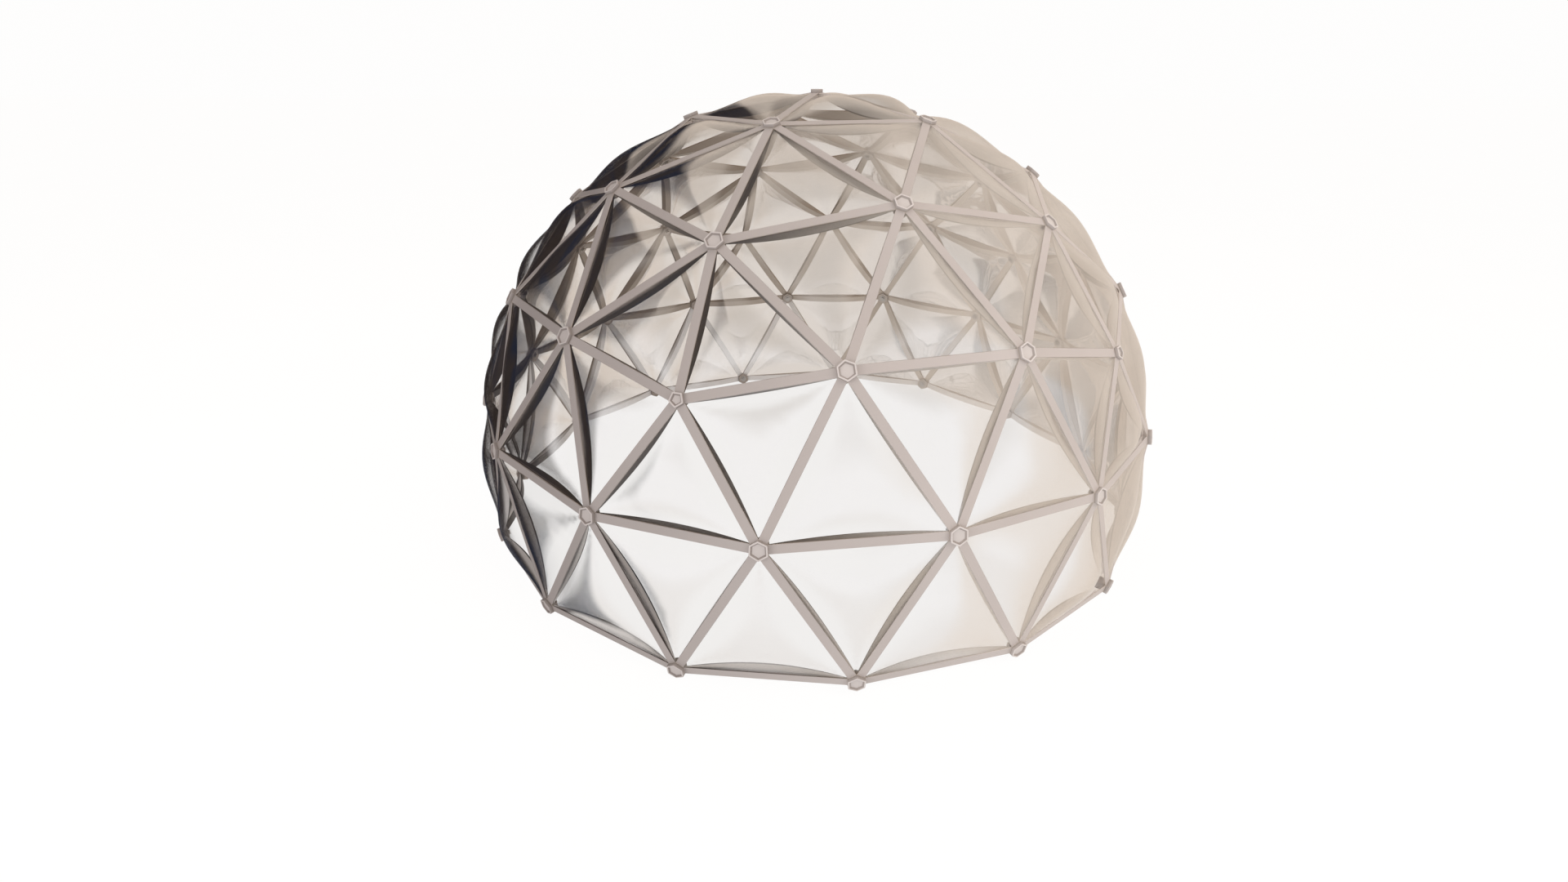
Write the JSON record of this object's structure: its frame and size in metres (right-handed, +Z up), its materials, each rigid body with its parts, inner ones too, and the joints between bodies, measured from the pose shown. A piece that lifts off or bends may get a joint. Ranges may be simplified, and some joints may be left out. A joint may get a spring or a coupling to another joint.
{
  "type": "geodesic dome climber",
  "caption": "Low geodesic dome of straight flat bars and polygonal hubs, closed by clear bubble panels, open at the bottom.",
  "frame": {"origin": "on the ground under the centre of the dome", "axes": "+Z up along the dome axis; -Y is the side the reference view looks from"},
  "size_m": [2.9978, 2.9838, 1.8189],
  "materials": {
    "bar": "satin taupe",
    "cap": "satin taupe",
    "core": "satin dark brown",
    "steel": "brushed",
    "clear": "clear polycarbonate, polished"
  },
  "bodies": {
    "root": {"bars_ring_1": "bar", "bars_ring_2": "bar", "bars_ring_3": "bar", "bars_ring_4": "bar", "bars_ring_5": "bar", "bars_tier_1": "bar", "bars_tier_2": "bar", "bars_tier_3": "bar", "bars_tier_4": "bar", "bars_tier_5": "bar", "hub_bolts_row_0": "steel", "hub_bolts_row_1": "steel", "hub_bolts_row_2": "steel", "hub_bolts_row_3": "steel", "hub_bolts_row_4": "steel", "hub_bolts_row_5": "steel", "hub_caps_row_0": "cap", "hub_caps_row_1": "cap", "hub_caps_row_2": "cap", "hub_caps_row_3": "cap", "hub_caps_row_4": "cap", "hub_caps_row_5": "cap", "hub_cores_row_0": "core", "hub_cores_row_1": "core", "hub_cores_row_2": "core", "hub_cores_row_3": "core", "hub_cores_row_4": "core", "hub_cores_row_5": "core", "hub_washers_row_0": "steel", "hub_washers_row_1": "steel", "hub_washers_row_2": "steel", "hub_washers_row_3": "steel", "hub_washers_row_4": "steel", "hub_washers_row_5": "steel", "panels_corner_tier_1": "clear", "panels_corner_tier_3": "clear", "panels_corner_tier_4": "clear", "panels_field_tier_2": "clear", "panels_field_tier_3": "clear", "panels_field_tier_4": "clear", "panels_field_tier_5": "clear"}
  },
  "joints": []
}
